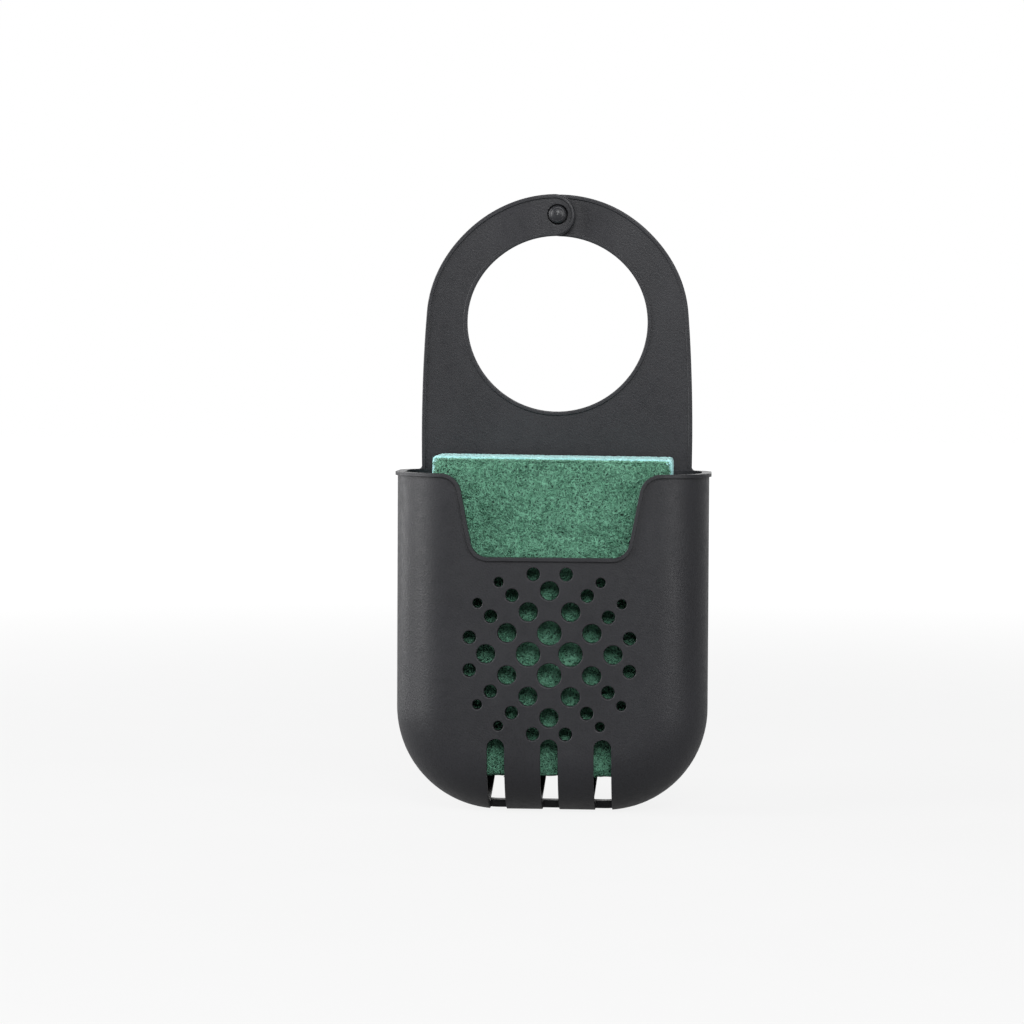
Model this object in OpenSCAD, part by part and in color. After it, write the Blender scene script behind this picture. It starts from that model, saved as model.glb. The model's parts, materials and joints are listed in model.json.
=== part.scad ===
// Sponge holder that hangs from a tap: a drained pocket on a flat back plate, whose
// two strap ends close round the tap as a ring and snap together at the top.
// Millimetres. X runs across, Y from front to back and Z up. The origin is the centre
// of the ring, halfway through the thickness of the plate.

/* [Sponge] */
// Width of the foam block
foam_w = 70; // [62:1:76]
// Thickness of the foam block
foam_t = 21.5; // [16:0.5:28]
// How far the scouring pad stays inside the foam at each side
pad_inset = 1.3; // [0.5:0.1:3]
// How far the scouring pad's upper edge stays below the foam's
pad_drop = 0.8; // [0.3:0.1:2]
// Thickness of the scouring pad
pad_t = 7; // [4:0.5:9]
// Height of the sponge
sponge_h = 92; // [82:1:104]
// Radius of the sponge's lower corners, pressed round by the pocket
sponge_low_r = 13; // [9:0.5:15]
// Radius of the sponge's upper corners
sponge_top_r = 2; // [1:0.5:4]

/* [Pocket] */
// Room between the foam and the wall at each side
side_room = 8.3; // [7:0.1:12]
// Room between the scouring pad and the front wall
front_room = 3; // [2.6:0.1:5]
// Room between the foam and the back wall
back_room = 4.1; // [3:0.1:8]
// Clearance where the sponge's lower corners rest in the pocket
seat_gap = 0.4; // [0.3:0.1:0.8]
// Height of the pocket from its underside to its rim
pocket_h = 98.8; // [92:0.2:110]
// Thickness of the moulded wall
wall = 2.2; // [1.6:0.1:2.6]
// Radius of the two lower corners, seen from the front
corner_r = 30; // [26:1:34]
// Radius of the long edge round the front face
front_r = 18; // [14:1:20]
// Radius of the long edge round the back face
back_r = 10; // [6:1:12]

/* [Rim and notch] */
// Height of the rim bead, and width of the bead round the notch
rim_h = 1; // [0.8:0.1:2]
// How far the rim bead and the notch bead stand out of the wall
rim_out = 0.65; // [0.4:0.05:1.2]
// Width of the notch at its lower edge, before its corners are rounded
notch_w = 44; // [36:1:50]
// Height of the notch's lower edge above the underside
notch_z = 74.8; // [72:0.2:78]
// Lean of the sides of the notch
notch_lean = 11; // [4:1:16]
// Radius of the lower corners of the notch
notch_low_r = 5; // [3:0.5:7]
// Radius of the rounded shoulders of the notch
notch_top_r = 6; // [3:0.5:7]

/* [Drain holes] */
// Height of the middle of the hole pattern above the underside
pattern_z = 47; // [44:0.5:50]
// Grid pitch of the hole pattern
hole_pitch = 6.1; // [5.8:0.1:6.6]
// Diameter of the four holes in the middle
hole_d_middle = 7; // [5:0.1:7.4]
// Diameter of the holes in the second ring
hole_d_second = 5.5; // [4:0.1:6]
// Diameter of the holes in the third ring
hole_d_third = 3.8; // [3:0.1:4.6]
// Diameter of the outermost holes
hole_d_outer = 2.8; // [2:0.1:3.6]
// Radius of the rounded mouth of each hole
hole_mouth_r = 0.3; // [0.1:0.1:0.5]

/* [Drain slots] */
// Number of slots
slot_count = 3; // [1:2:3]
// Width of each slot in the front wall
slot_w = 5.1; // [4:0.1:7]
// Distance from one slot to the next
slot_pitch = 15.4; // [12:0.2:17]
// Height of the slots' upper ends above the underside
slot_top = 22.5; // [16:0.5:23]
// Distance from the front face to the bar that crosses the slots
bar_y = 20; // [16:0.5:22]
// Width of that bar, from front to back
bar_w = 3.5; // [2:0.5:6]
// Width of each slot behind the bar, at the underside
rear_slot_w = 7.4; // [5:0.2:9]
// Width of each slot behind the bar, at its upper end
rear_slot_top_w = 4; // [3:0.2:6]
// Height of the upper ends of the slots in the back wall
rear_slot_top = 14; // [10:0.5:20]

/* [Back plate and ring] */
// Height of the ring's centre above the pocket's rim
ring_rise = 43.8; // [42:0.2:60]
// Radius of the opening that the tap goes through
ring_r = 26.5; // [24:0.5:28]
// Width of the band round that opening
band_w = 12.1; // [11:0.1:14]
// How much further each side of the plate reaches at the rim than at the ring
plate_flare = 1.7; // [1.2:0.1:3]
// Thickness of the back plate inside its raised edge
plate_t = 1.9; // [1.6:0.1:2.4]
// Width of the raised edge
edge_w = 1.1; // [0.8:0.1:1.6]
// Height of the raised edge above the plate
edge_h = 0.4; // [0.2:0.1:0.6]
// Radius of the fillets between the back plate and the rim
root_r = 1; // [0.5:0.1:2]
// Gap at each line where a strap flexes
flex_gap = 0.3; // [0.2:0.05:0.5]

/* [Snap] */
// How far the press stud sits below the middle of the band
stud_drop = 0.55; // [0:0.05:1]
// Diameter of the stud's head
stud_head_d = 5.3; // [4.6:0.1:5.8]
// Diameter of the stud's neck
stud_neck_d = 4.4; // [3.6:0.1:4.6]
// Clearance round the stud's head in the hole of the front strap
snap_gap = 0.4; // [0.3:0.05:0.6]
// Height of the stud's domed head
stud_head_h = 1.2; // [0.8:0.1:1.6]
// Clearance between the two straps where they overlap
lap_gap = 0.3; // [0.2:0.05:0.5]
// How far the front strap's round end reaches past the stud
lap_reach = 5.2; // [4.6:0.1:6]
// Length of the stretch in which each strap steps aside
lap_ramp = 12; // [8:1:16]

/* [Hidden] */
$fn = 96;
// Overshoot of cuts past the faces that they open
over = 1;
// Reach of the squares that select one side of the plate
reach = 100;
// Facets of the very large arcs at the sides of the back plate
side_fn = 1440;
// Steps in each rounded corner of the notch
notch_steps = 10;
// Facets round the small edge of a hole's mouth
mouth_fn = 24;

// Full thickness of plate and straps at their raised edge, and half of it
strap_t = plate_t + edge_h;
half_t = strap_t / 2;

// The pocket is drawn round the sponge from its underside and its front face, then
// moved so that the ring's centre is the origin
pocket_d = 2 * wall + front_room + pad_t + foam_t + back_room;
pocket_at = [0, half_t - pocket_d, -pocket_h - ring_rise];
corner_x = foam_w / 2 + side_room + wall - corner_r;
notch_depth = pocket_h - notch_z;
rim_z = -ring_rise;

// The scouring pad rests in the lower corners, where the pocket's inner corner has
// this radius at the depth of the pad's face
pad_y = wall + front_room;
pad_w = foam_w - 2 * pad_inset;
seat_r = corner_r - front_r + sqrt((front_r - wall)^2 - (front_r - pad_y)^2);
seat_x = pad_w / 2 - sponge_low_r - corner_x;
seat_drop = sqrt((seat_r - sponge_low_r - seat_gap)^2 - seat_x^2);
sponge_lift = corner_r - sponge_low_r - seat_drop;

// Outer radius of the ring, and the large arc that runs into it at each side
ring_out = ring_r + band_w;
plate_half = ring_out + plate_flare;
side_r = (plate_half^2 + rim_z^2 - ring_out^2) / (2 * (plate_half - ring_out));
side_x = plate_half - side_r;
tangent_z = -rim_z * ring_out / (side_r - ring_out);

// Middle of the band, the middle of each strap's round end, and the stud's place
band_mid = ring_r + band_w / 2;
end_x = lap_reach - band_w / 2;
end_turn = asin(end_x / band_mid);
lap_shift = (strap_t + lap_gap) / 2;
ramp_x = lap_reach + over;
stud_z = band_mid - stud_drop;
snap_hole_d = stud_head_d + 2 * snap_gap;

// Rings of drain holes: distance from the middle, places along one side, diameter
hole_rings = [
    [1, [1], hole_d_middle],
    [3, [3, 1, -1], hole_d_second],
    [4.55, [3, 1, -1, -3], hole_d_third],
    [5.8, [1, -1], hole_d_outer]
];

// Points of an arc from angle a0 to angle a1
function arc(cx, cy, r, a0, a1, steps) =
    [for (i = [0:steps]) let (a = a0 + (a1 - a0) * i / steps) [cx + r * cos(a), cy + r * sin(a)]];

// Extrudes a shape drawn in the front view from y0 back to y1
module front_view(y0, y1) {
    translate([0, y1, 0])
        rotate([90, 0, 0])
            linear_extrude(y1 - y0)
                children();
}

// ---- Pocket ----

// What a rounded edge takes off a square corner at the origin, inside +X and +Y
module corner_waste(r) {
    difference() {
        translate([-r, -r]) square(r + over);
        translate([-r, -r]) circle(r);
    }
}

// Cut through the pocket square to its outline: x outward from the corner's axis,
// y from front to back. A positive grow makes it larger all round.
module edge_section(grow) {
    difference() {
        translate([0, -grow]) square([corner_r + grow, pocket_d + 2 * grow]);
        translate([corner_r + grow, -grow]) mirror([0, 1]) corner_waste(front_r + grow);
        translate([corner_r + grow, pocket_d + grow]) corner_waste(back_r + grow);
    }
}

// Plan of the pocket above its rounded corners
module pocket_plan(grow) {
    translate([-corner_x, -grow]) square([2 * corner_x, pocket_d + 2 * grow]);
    for (side = [0, 1])
        mirror([side, 0])
            translate([corner_x, 0]) edge_section(grow);
}

// The pocket as a solid block: the edge section swept up one side, round both lower
// corners and along the underside
module pocket_block(grow, top) {
    translate([0, 0, corner_r]) linear_extrude(top - corner_r) pocket_plan(grow);
    translate([-corner_x, 0, corner_r])
        rotate([0, 90, 0])
            linear_extrude(2 * corner_x) edge_section(grow);
    for (side = [0, 1])
        mirror([side, 0, 0])
            translate([corner_x, 0, corner_r])
                rotate([-90, 0, 0])
                    rotate_extrude(angle = 90) edge_section(grow);
}

// One half of the notch's outline, from the middle of its lower edge to its shoulder,
// set outward by grow
function notch_half(grow) =
    let (
        low_x = notch_w / 2 - notch_low_r * (1 - sin(notch_lean)) / cos(notch_lean),
        rise = notch_depth - notch_top_r,
        top_x = notch_w / 2 + (notch_top_r + rise * sin(notch_lean)) / cos(notch_lean)
    )
    concat(
        arc(low_x, notch_z + notch_low_r, notch_low_r + grow, -90, -notch_lean, notch_steps),
        arc(top_x, pocket_h - notch_top_r, notch_top_r - grow, 180 - notch_lean, 90, notch_steps),
        [[top_x, pocket_h + over]]
    );

module notch_shape(grow) {
    half = notch_half(grow);
    polygon(concat(half, [for (i = [len(half) - 1:-1:0]) [-half[i].x, half[i].y]]));
}

// Bead that follows the edge of the notch on the outside of the front wall
module notch_bead() {
    intersection() {
        front_view(-front_r, front_r) notch_shape(rim_h);
        linear_extrude(pocket_h) pocket_plan(rim_out);
    }
}

// Cut of one drain hole, with a rounded mouth in the front face
module drain_hole(r) {
    mouth = r + hole_mouth_r;
    rotate([-90, 0, 0]) {
        cylinder(h = front_r, r = r);
        rotate_extrude()
            difference() {
                translate([0, -over]) square([mouth, over + hole_mouth_r]);
                translate([mouth, hole_mouth_r]) circle(hole_mouth_r, $fn = mouth_fn);
            }
    }
}

module drain_holes() {
    for (ring = hole_rings)
        for (place = ring[1])
            for (turn = [0:90:270])
                translate([0, 0, pattern_z])
                    rotate([0, turn, 0])
                        translate([ring[0] + place, 0, ring[0] - place] * hole_pitch / 2)
                            drain_hole(ring[2] / 2);
}

// A slot seen from the front: tapered sides below a round upper end
module slot_shape(low_w, top_w, top_z) {
    end_z = top_z - top_w / 2;
    polygon([[-low_w / 2, -over], [low_w / 2, -over], [top_w / 2, end_z], [-top_w / 2, end_z]]);
    translate([0, end_z]) circle(d = top_w);
}

module drain_slots() {
    for (i = [0:slot_count - 1])
        translate([(i - (slot_count - 1) / 2) * slot_pitch, 0, 0]) {
            front_view(-over, bar_y) slot_shape(slot_w, slot_w, slot_top);
            front_view(bar_y + bar_w, pocket_d + over)
                slot_shape(rear_slot_w, rear_slot_top_w, rear_slot_top);
        }
}

module pocket_shell() {
    color("#26272a")
        translate(pocket_at)
            difference() {
                union() {
                    pocket_block(0, pocket_h);
                    translate([0, 0, pocket_h - rim_h])
                        linear_extrude(rim_h) pocket_plan(rim_out);
                    notch_bead();
                }
                pocket_block(-wall, pocket_h + over);
                front_view(-front_r, front_r) notch_shape(0);
                drain_holes();
                drain_slots();
            }
}

// ---- Back plate and straps ----

// Front view of plate and ring together: large arcs run from the rim into the ring.
// A positive inset draws the field inside the raised edge.
module plate_shape(inset) {
    difference() {
        union() {
            circle(ring_out - inset);
            intersection() {
                translate([side_x, rim_z]) circle(side_r - inset, $fn = side_fn);
                translate([-side_x, rim_z]) circle(side_r - inset, $fn = side_fn);
                translate([-reach, rim_z]) square([2 * reach, tangent_z - rim_z]);
            }
        }
        circle(ring_r + inset);
    }
}

// Small fillet between the plate's side and the rim, on the right
module root_fillet() {
    translate([plate_half, rim_z])
        difference() {
            translate([-over, 0]) square([root_r + over, root_r]);
            translate([root_r, root_r]) circle(root_r);
        }
}

// Keeps the part of a front view shape that lies between the rim and a height
module plate_below(top) {
    intersection() {
        children();
        translate([-reach, rim_z]) square([2 * reach, top - rim_z]);
    }
}

module back_plate() {
    flex_z = -half_t - flex_gap;
    color("#2b2c2f") {
        difference() {
            union() {
                front_view(-half_t, half_t) plate_below(flex_z) plate_shape(0);
                for (side = [0, 1])
                    mirror([side, 0, 0]) front_view(-half_t, half_t) root_fillet();
            }
            front_view(-half_t - over, -half_t + edge_h) plate_below(flex_z + over) plate_shape(edge_w);
        }
    }
}

// Front view of the left strap: its half of the ring, with a round end past the stud
module strap_shape(inset) {
    intersection() {
        plate_shape(inset);
        union() {
            translate([-reach, 0]) square([reach, band_mid / 2]);
            rotate(-end_turn) translate([-reach, 0]) square([reach, reach]);
        }
    }
    rotate(-end_turn) translate([0, band_mid]) circle(band_w / 2 - inset);
}

// Side run of a strap seen from above: straight, then a ramp to the overlap
module strap_run(y0, y1, shift) {
    linear_extrude(ring_out + over)
        polygon([
            [-reach, y0], [-ramp_x - lap_ramp, y0], [-ramp_x, y0 + shift], [reach, y0 + shift],
            [reach, y1 + shift], [-ramp_x, y1 + shift], [-ramp_x - lap_ramp, y1], [-reach, y1]
        ]);
}

// The band of the left strap close to the line where it flexes
module band_root() {
    intersection() {
        plate_shape(0);
        translate([-reach, -strap_t]) square([reach, 2 * strap_t]);
    }
}

// The sunken field of the strap, which stops above the roll at its lower end
module strap_field() {
    intersection() {
        strap_shape(edge_w);
        translate([-reach, strap_t]) square([2 * reach, 2 * ring_out]);
    }
}

// The left strap, with the overlap shifted along Y. Its lower end is a round roll
// about the line where it flexes.
module strap(shift) {
    difference() {
        union() {
            intersection() {
                front_view(-ring_out, ring_out) strap_shape(0);
                strap_run(-half_t, half_t, shift);
            }
            intersection() {
                front_view(-strap_t, strap_t) band_root();
                rotate([0, -90, 0]) cylinder(h = reach, r = half_t);
            }
        }
        intersection() {
            front_view(-ring_out, ring_out) strap_field();
            strap_run(-half_t - over, -half_t + edge_h, shift);
        }
    }
}

module left_arm() {
    color("#303134")
        difference() {
            strap(-lap_shift);
            translate([0, 0, stud_z])
                rotate([90, 0, 0])
                    cylinder(h = ring_out, d = snap_hole_d, center = true);
        }
}

module right_arm() {
    color("#303134") mirror([1, 0, 0]) strap(lap_shift);
}

// Press stud on the right strap: a neck through the hole, and a domed head
module press_stud() {
    seat_y = lap_shift - half_t + edge_h;
    head_y = -lap_shift - half_t - lap_gap;
    neck_l = seat_y - head_y;
    head_r = stud_head_d / 2;
    color("#38393c")
        translate([0, seat_y, stud_z])
            rotate([90, 0, 0])
                rotate_extrude() {
                    square([stud_neck_d / 2, neck_l + stud_head_h / 2]);
                    translate([0, neck_l]) stud_head(head_r);
                }
}

// Half section of the domed head
module stud_head(r) {
    dome_r = (r^2 + stud_head_h^2) / (2 * stud_head_h);
    intersection() {
        translate([0, stud_head_h - dome_r]) circle(dome_r);
        square([r, stud_head_h]);
    }
}

// ---- Sponge ----

// Front view of a sponge layer: sharp upper corners, lower ones rounded by the pocket
module sponge_shape(w, h) {
    difference() {
        translate([-w / 2, 0]) square([w, h]);
        for (side = [0, 1])
            mirror([side, 0]) {
                translate([w / 2, h]) corner_waste(sponge_top_r);
                translate([w / 2, 0]) mirror([0, 1]) corner_waste(sponge_low_r);
            }
    }
}

module sponge_layer(w, h, y, t) {
    translate(pocket_at + [0, 0, sponge_lift])
        front_view(y, y + t) sponge_shape(w, h);
}

module scouring_pad() {
    color("#2f8f66") sponge_layer(pad_w, sponge_h - pad_drop, pad_y, pad_t);
}

module sponge_foam() {
    color("#8fe0dc") sponge_layer(foam_w, sponge_h, pad_y + pad_t, foam_t);
}

pocket_shell();
back_plate();
left_arm();
right_arm();
press_stud();
sponge_foam();
scouring_pad();
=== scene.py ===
"""Looks for a sponge holder: moulded black plastic, foam sponge and scouring pad."""
import json
import math

import bmesh
import bpy
import numpy as np
from bpy.props import (
    FloatProperty,
    FloatVectorProperty,
    IntProperty,
    PointerProperty,
)
from mathutils import Matrix, Vector, noise


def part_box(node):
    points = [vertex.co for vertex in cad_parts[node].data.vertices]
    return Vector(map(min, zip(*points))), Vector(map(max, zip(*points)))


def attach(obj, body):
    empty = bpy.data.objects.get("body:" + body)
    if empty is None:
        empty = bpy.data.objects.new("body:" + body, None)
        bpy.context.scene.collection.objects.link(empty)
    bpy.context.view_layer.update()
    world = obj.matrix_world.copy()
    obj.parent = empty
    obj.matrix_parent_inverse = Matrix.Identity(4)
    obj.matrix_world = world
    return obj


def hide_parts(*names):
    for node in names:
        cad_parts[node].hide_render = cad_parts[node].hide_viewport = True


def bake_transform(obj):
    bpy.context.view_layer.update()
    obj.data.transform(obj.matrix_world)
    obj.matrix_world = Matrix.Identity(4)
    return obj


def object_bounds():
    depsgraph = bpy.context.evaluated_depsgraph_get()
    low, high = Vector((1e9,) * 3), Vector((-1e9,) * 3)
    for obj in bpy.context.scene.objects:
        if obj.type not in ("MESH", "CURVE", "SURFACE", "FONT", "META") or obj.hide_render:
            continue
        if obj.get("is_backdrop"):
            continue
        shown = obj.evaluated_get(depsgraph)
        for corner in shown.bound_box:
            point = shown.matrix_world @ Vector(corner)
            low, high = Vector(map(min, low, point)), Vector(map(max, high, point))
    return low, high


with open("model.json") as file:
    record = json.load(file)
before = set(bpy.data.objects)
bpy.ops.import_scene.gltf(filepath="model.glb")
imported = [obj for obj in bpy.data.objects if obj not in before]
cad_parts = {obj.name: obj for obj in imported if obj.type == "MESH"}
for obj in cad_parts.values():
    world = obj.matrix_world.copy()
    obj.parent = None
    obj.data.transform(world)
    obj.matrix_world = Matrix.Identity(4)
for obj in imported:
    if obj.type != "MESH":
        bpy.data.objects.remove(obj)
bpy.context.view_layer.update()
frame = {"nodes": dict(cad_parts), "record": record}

bl_info = {
    "name": "Sponge holder looks",
    "version": (1, 0, 0),
    "blender": (4, 5, 0),
    "location": "3D View > Sidebar > Sponge holder",
    "description": "Builds the skins, sponge, materials and stage of a sponge holder",
    "category": "Object",
}

MM = 0.001
SEED = 386

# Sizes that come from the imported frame, in millimetres
RING_R = frame["record"]["mounts"][0]["dims"]["r_mm"]
HALF_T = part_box("back_plate")[1].y / MM
RIM_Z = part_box("back_plate")[0].z / MM
RING_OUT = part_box("right_arm")[1].z / MM
LAP_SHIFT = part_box("right_arm")[1].y / MM - HALF_T

# Smaller sizes of plate and straps, in millimetres unless they are shares or angles
ROOT_R = 1.0  # fillet where the plate's sides meet the rim
TIP_X = 0.85  # from the middle of a strap's round end to the centre line
LAP_FLAT = 6.2  # from the centre line to where a strap starts to leave the overlap
LAP_RAMP = 12.0  # length on which a strap comes back to the ring's plane
FOOT_ANGLE = -math.radians(52)  # where the ring's edge parts from the plate's sides
SAG_EASED = 0.35  # share of the ring's sag that its outside doesn't follow
SHARP_ANGLE = 38.0  # edges of a moulded skin that turn more than this stay sharp

# Steps along the skins: across the field, up the neck, round the ring, round a
# strap's end, down the plate's sides, and under the ring
FIELD_STEPS, NECK_STEPS, RING_STEPS, TIP_STEPS = 7, 34, 90, 40
SIDE_STEPS, FOOT_STEPS = 46, 34

# Sizes of the sponge's layers, in metres
FOAM_VOXEL, QUICK_VOXEL, WEB_VOXEL = 0.00055, 0.0012, 0.0009
WEB_RELIEF = 0.00035
PAD_FOOT_R = 0.013  # radius of the pad's lower corners
FIBRE_INSET = 0.0006  # the least from a fibre's start to the edge of the face


# ---------------------------------------------------------------- settings

# Keywords that several settings share
TINT = {"subtype": "COLOR", "size": 3, "min": 0, "max": 1}
LENGTH = {"unit": "LENGTH", "precision": 6}
POWER = {"unit": "POWER", "min": 0, "max": 60}


class HolderMoulding(bpy.types.PropertyGroup):
    """Colour and surface of the moulded plastic"""

    colour: FloatVectorProperty(
        name="Plastic colour", description="Colour of the moulded plastic",
        default=(0.0128, 0.013, 0.015), **TINT,
    )
    stud_colour: FloatVectorProperty(
        name="Stud colour", description="Colour of the press stud",
        default=(0.016, 0.0163, 0.0185), **TINT,
    )
    roughness: FloatProperty(
        name="Roughness", description="Mean roughness of the matt mould texture",
        default=0.45, min=0.1, max=1, subtype="FACTOR",
    )
    grain: FloatProperty(
        name="Grain size", description="Size of the spark-eroded grain",
        default=0.0005, min=0.0001, max=0.002, **LENGTH,
    )
    grain_height: FloatProperty(
        name="Grain height", description="Height of the grain",
        default=0.00007, min=0, max=0.0002, **LENGTH,
    )
    edge_round: FloatProperty(
        name="Edge rounding",
        description="Radius that softens the pocket's and the stud's edges in the shading",
        default=0.0002, min=0, max=0.001, **LENGTH,
    )


class HolderBand(bpy.types.PropertyGroup):
    """Section of the back plate and of the straps round the ring, in millimetres"""

    edge_w: FloatProperty(
        name="Raised edge width", default=1.1, min=0.6, max=2,
        description="Width of the raised edge of plate and straps, in millimetres",
    )
    edge_h: FloatProperty(
        name="Raised edge height", default=0.4, min=0.1, max=0.8,
        description="Height of the raised edge above the sunken field, in millimetres",
    )
    corner: FloatProperty(
        name="Corner radius", default=0.35, min=0.05, max=0.6,
        description="Rounding of the outer corners of the section, in millimetres",
    )
    tip_corner: FloatProperty(
        name="Tip corner radius", default=0.85, min=0.05, max=0.85,
        description="Larger rounding at the straps' round ends, in millimetres",
    )
    snap_gap: FloatProperty(
        name="Snap gap", default=0.33, min=0.1, max=0.6,
        description="Gap round the stud's head in the front strap, in millimetres",
    )
    spread: FloatProperty(
        name="Ring spread", default=0.5, min=0, max=1,
        description="How far each side of the closed ring gives outward, in millimetres",
    )
    sag: FloatProperty(
        name="Ring sag", default=0.85, min=0, max=1.5,
        description="How far the top of the closed ring is pulled down, in millimetres",
    )
    plate_half: FloatProperty(
        name="Half width at the rim", default=40.3, min=36, max=46,
        description="Half of the plate's width where it meets the rim, in millimetres",
    )
    seam_z: FloatProperty(
        name="Strap seam height", default=-10, min=-20, max=-6,
        description="Where the straps' skins start, from the ring's centre, in millimetres",
    )
    flex_z: FloatProperty(
        name="Flex reach", default=7, min=2, max=9,
        description="How far above and below its flex line a strap bends, in millimetres",
    )


class HolderScourer(bpy.types.PropertyGroup):
    """Scouring pad: a bonded web of curly fibres"""

    light: FloatVectorProperty(
        name="Light fibre", description="Colour of the fibres on top of the web",
        default=(0.121, 0.315, 0.21), **TINT,
    )
    # Painted shade deep between the fibres, not the fibres' own colour
    deep_shade: FloatVectorProperty(
        name="Deep web shade", description="Colour deep between the fibres",
        default=(0.008, 0.025, 0.02), **TINT,
    )
    face_fibres: IntProperty(
        name="Fibres on the face", default=3900, min=0, max=4500,
        description="Number of curled fibres on the front face",
    )
    edge_fibres: IntProperty(
        name="Fibres on the edges", default=1700, min=0, max=4500,
        description="Number of curled fibres round the cut edges",
    )
    fibre_r: FloatProperty(
        name="Fibre radius", description="Radius of one fibre",
        default=0.00011, min=0.00003, max=0.0002, **LENGTH,
    )


class HolderFoam(bpy.types.PropertyGroup):
    """Foam block of the sponge"""

    colour: FloatVectorProperty(
        name="Foam colour", description="Colour of the foam",
        default=(0.325, 0.705, 0.7), **TINT,
    )
    pore: FloatProperty(
        name="Pore size", description="Distance between the large pores",
        default=0.0019, min=0.0008, max=0.004, **LENGTH,
    )
    corner_r: FloatProperty(
        name="Corner radius",
        description="Radius of the upper corners of both layers before they are filled out",
        default=0.002, min=0.0005, max=0.004, **LENGTH,
    )
    pore_depth: FloatProperty(
        name="Pore depth", description="Depth of the large pores",
        default=0.00045, min=0, max=0.001, **LENGTH,
    )
    lean: FloatProperty(
        name="Lean", description="Slope of the sponge's top across its width",
        default=-0.0095, min=-0.05, max=0.05,
    )


class HolderStage(bpy.types.PropertyGroup):
    """Camera, lamps and background"""

    lens: FloatProperty(
        name="Lens", description="Focal length on a 36 mm sensor",
        default=110.74, min=20, max=300, unit="CAMERA",
    )
    yaw: FloatProperty(
        name="Camera yaw", description="Turn of the camera to the left",
        default=math.radians(3.531), subtype="ANGLE",
    )
    pitch: FloatProperty(
        name="Camera pitch", description="Downward tilt of the camera",
        default=math.radians(2.817), subtype="ANGLE",
    )
    roll: FloatProperty(
        name="Camera roll", description="Roll of the camera",
        default=math.radians(0.257), subtype="ANGLE",
    )
    place: FloatVectorProperty(
        name="Camera place", description="Where the camera stands",
        default=(0.04464, -0.93885, -0.01032), size=3, subtype="TRANSLATION",
    )
    key: FloatProperty(
        name="Left lamp", description="Power of the large soft lamp on the left",
        default=13.6, **POWER,
    )
    edge: FloatProperty(
        name="Left edge lamp", description="Power of the lamp behind the left side",
        default=4.5, **POWER,
    )
    side: FloatProperty(
        name="Right lamp", description="Power of the soft lamp on the right",
        default=5.4, **POWER,
    )
    front: FloatProperty(
        name="Front lamp", description="Power of the soft lamp high up in front",
        default=9.2, **POWER,
    )
    back: FloatProperty(
        name="Back lamp", description="Power of the soft lamp behind",
        default=3.0, **POWER,
    )
    fill: FloatProperty(
        name="Fill", description="Strength of the even light from all round",
        default=0.06, min=0, max=1,
    )


# ---------------------------------------------------------------- node helpers


def feed(tree, node, inputs):
    """Links the inputs that are given as sockets and sets the others."""
    for key, value in inputs.items():
        if isinstance(value, bpy.types.NodeSocket):
            tree.links.new(value, node.inputs[key])
        else:
            node.inputs[key].default_value = value
    return node


def add_node(tree, kind, inputs=None, **settings):
    """Adds one shader node with its settings and inputs."""
    node = tree.nodes.new("ShaderNode" + kind)
    for name, value in settings.items():
        setattr(node, name, value)
    return feed(tree, node, inputs or {})


def calculate(tree, operation, *values):
    """Adds a Math node and returns its result."""
    node = add_node(tree, "Math", dict(enumerate(values)), operation=operation)
    return node.outputs[0]


def times(tree, first, second):
    """Product of two values."""
    return calculate(tree, "MULTIPLY", first, second)


def span(tree, value, low, high, to_low=0.0, to_high=1.0, smooth=False):
    """Maps a range of a value to another range and returns the result."""
    return add_node(
        tree, "MapRange", {0: value, 1: low, 2: high, 3: to_low, 4: to_high},
        interpolation_type="SMOOTHSTEP" if smooth else "LINEAR",
    ).outputs[0]


def blend_colours(tree, share, *colours):
    """Mixes two colours and returns the result."""
    first, second = (
        c if isinstance(c, bpy.types.NodeSocket) else (*c, 1.0) for c in colours
    )
    node = add_node(tree, "Mix", {0: share, 6: first, 7: second}, data_type="RGBA")
    return node.outputs[2]


def grey_noise(tree, place, scale, detail=2.0, roughness=0.5):
    """Adds a noise of one value and returns it."""
    return add_node(
        tree, "TexNoise",
        {"Vector": place, "Scale": scale, "Detail": detail, "Roughness": roughness},
    ).outputs["Fac"]


def cell_distance(tree, place, scale, feature="DISTANCE_TO_EDGE"):
    """Adds a pattern of cells and returns the distance inside them."""
    return add_node(
        tree, "TexVoronoi", {"Vector": place, "Scale": scale}, feature=feature
    ).outputs["Distance"]


def move_vector(tree, operation, inputs):
    """Adds a Vector Math node and returns its vector."""
    return add_node(tree, "VectorMath", inputs, operation=operation).outputs[0]


def new_group(name, inputs):
    """Starts a shader node group: each input is a number, or a vector for None."""
    tree = bpy.data.node_groups.new(name, "ShaderNodeTree")
    for label, value in inputs.items():
        kind = "NodeSocketVector" if value is None else "NodeSocketFloat"
        socket = tree.interface.new_socket(name=label, in_out="INPUT", socket_type=kind)
        if value is not None:
            socket.default_value = value
    return tree, tree.nodes.new("NodeGroupInput").outputs


def close_group(tree, outputs):
    """Gives a node group its outputs, each with the socket that it comes from."""
    for label, source in outputs.items():
        kind = "NodeSocketVector" if source.type == "VECTOR" else "NodeSocketFloat"
        tree.interface.new_socket(name=label, in_out="OUTPUT", socket_type=kind)
    feed(tree, tree.nodes.new("NodeGroupOutput"), outputs)


def use_group(tree, name, inputs):
    """Places a node group in a material and returns its outputs."""
    node = add_node(tree, "Group")
    node.node_tree = bpy.data.node_groups[name]
    return feed(tree, node, inputs).outputs


def clear_nodes(owner):
    """Starts the node tree of a material or a world afresh."""
    owner.use_nodes = True
    owner.node_tree.nodes.clear()
    return owner.node_tree


def new_material(name):
    """Makes a material and returns it with its tree and its shader."""
    material = bpy.data.materials.new(name)
    tree = clear_nodes(material)
    shader = add_node(tree, "BsdfPrincipled")
    add_node(tree, "OutputMaterial", {"Surface": shader.outputs[0]})
    return material, tree, shader


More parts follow.
